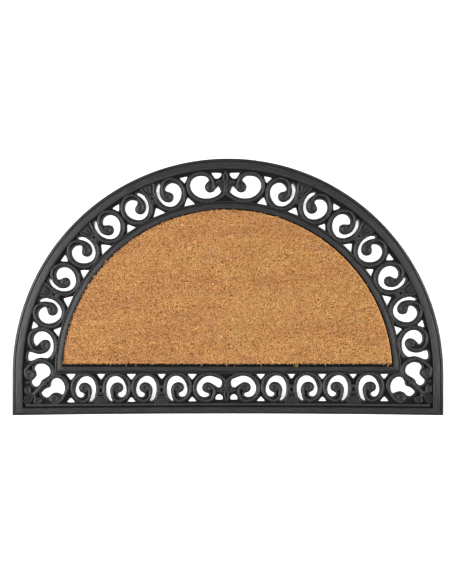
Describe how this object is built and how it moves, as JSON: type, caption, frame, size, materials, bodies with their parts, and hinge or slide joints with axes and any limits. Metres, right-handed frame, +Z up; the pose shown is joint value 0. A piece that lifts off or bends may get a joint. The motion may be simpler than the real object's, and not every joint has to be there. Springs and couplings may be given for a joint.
{
  "type": "half-moon rubber and coir doormat",
  "caption": "Half-moon doormat: a moulded black rubber mat with an openwork scroll border, and a coir pile panel in its tray for wiping shoes.",
  "frame": {"origin": "on the floor, at the middle of the mat's outer length and depth", "axes": "+X along the straight edge, +Y from the straight edge towards the arch, +Z up out of the pile"},
  "size_m": [0.75, 0.447, 0.014],
  "materials": {
    "rubber": "satin, moulded",
    "coir": "coarse cut pile, natural golden brown"
  },
  "bodies": {
    "root": {"rubber_mat": "rubber", "coir_panel": "coir"}
  },
  "joints": []
}
